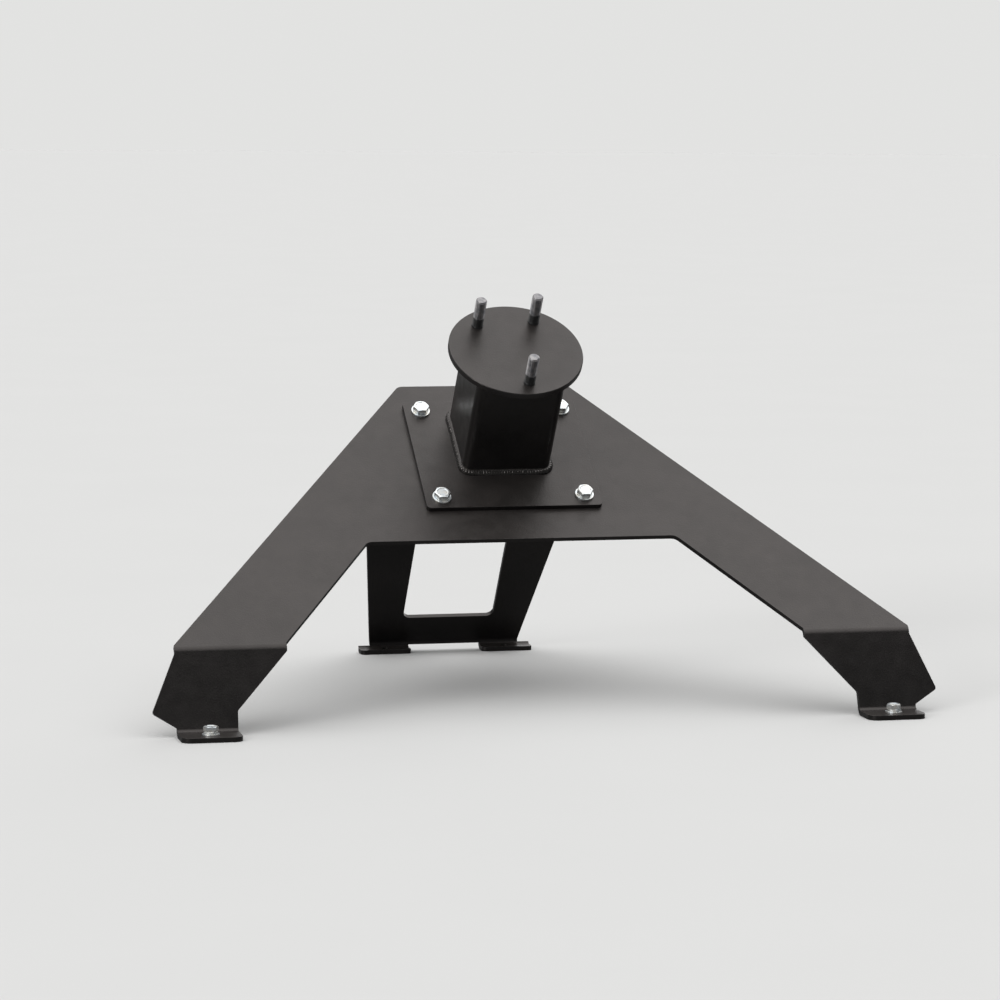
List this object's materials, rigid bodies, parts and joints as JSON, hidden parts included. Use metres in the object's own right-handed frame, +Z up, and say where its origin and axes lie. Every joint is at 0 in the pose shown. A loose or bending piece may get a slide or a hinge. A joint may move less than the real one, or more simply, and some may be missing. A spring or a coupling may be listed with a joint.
{
  "type": "spare tire carrier",
  "caption": "Sheet-steel A-frame that bolts to a truck bed floor and holds a spare wheel on a sloping post with a round stud plate.",
  "frame": {"origin": "midway between the two rear foot bolts, on the floor plane", "axes": "+X to the carrier's right, +Y to its front (towards the cab), +Z up"},
  "size_m": [0.984, 0.6922, 0.5392],
  "materials": {
    "powder_coat": "satin black powder coat",
    "zinc": "bright zinc plate",
    "stud_steel": "zinc plated thread",
    "nylon": "moulded nylon"
  },
  "bodies": {
    "carrier": {"main_frame": "powder_coat", "front_leg": "powder_coat", "post_base_plate": "powder_coat", "post_tube": "powder_coat", "post_base_weld": "powder_coat", "wheel_plate": "powder_coat", "wheel_plate_weld": "powder_coat", "frame_bolts": "zinc", "frame_bolt_washers": "zinc", "frame_nut_washers": "zinc", "frame_lock_nuts": "zinc", "frame_nut_inserts": "nylon", "wheel_stud_left": "stud_steel", "wheel_stud_right": "stud_steel", "wheel_stud_low": "stud_steel", "foot_washer_left": "zinc", "foot_washer_right": "zinc"},
    "left_lock_washer": {"foot_lock_washer_left": "zinc"},
    "left_foot_bolt": {"foot_bolt_left": "zinc"},
    "right_lock_washer": {"foot_lock_washer_right": "zinc"},
    "right_foot_bolt": {"foot_bolt_right": "zinc"}
  },
  "joints": [
    {"name": "left_bolt_lift", "type": "slide", "parent": "carrier", "child": "left_lock_washer", "axis": [0, 0, 1], "range_m": [0, 0.025]},
    {"name": "left_bolt_turn", "type": "hinge", "parent": "left_lock_washer", "child": "left_foot_bolt", "pos_m": [-0.427, 0, 0], "axis": [0, 0, 1], "range_deg": [0, 6000]},
    {"name": "right_bolt_lift", "type": "slide", "parent": "carrier", "child": "right_lock_washer", "axis": [0, 0, 1], "range_m": [0, 0.025]},
    {"name": "right_bolt_turn", "type": "hinge", "parent": "right_lock_washer", "child": "right_foot_bolt", "pos_m": [0.427, 0, 0], "axis": [0, 0, 1], "range_deg": [0, 6000]}
  ],
  "couplings": [
    {"joint": "left_bolt_turn", "follows": "left_bolt_lift", "rad_per_m": 4188.8},
    {"joint": "right_bolt_turn", "follows": "right_bolt_lift", "rad_per_m": 4188.8}
  ]
}
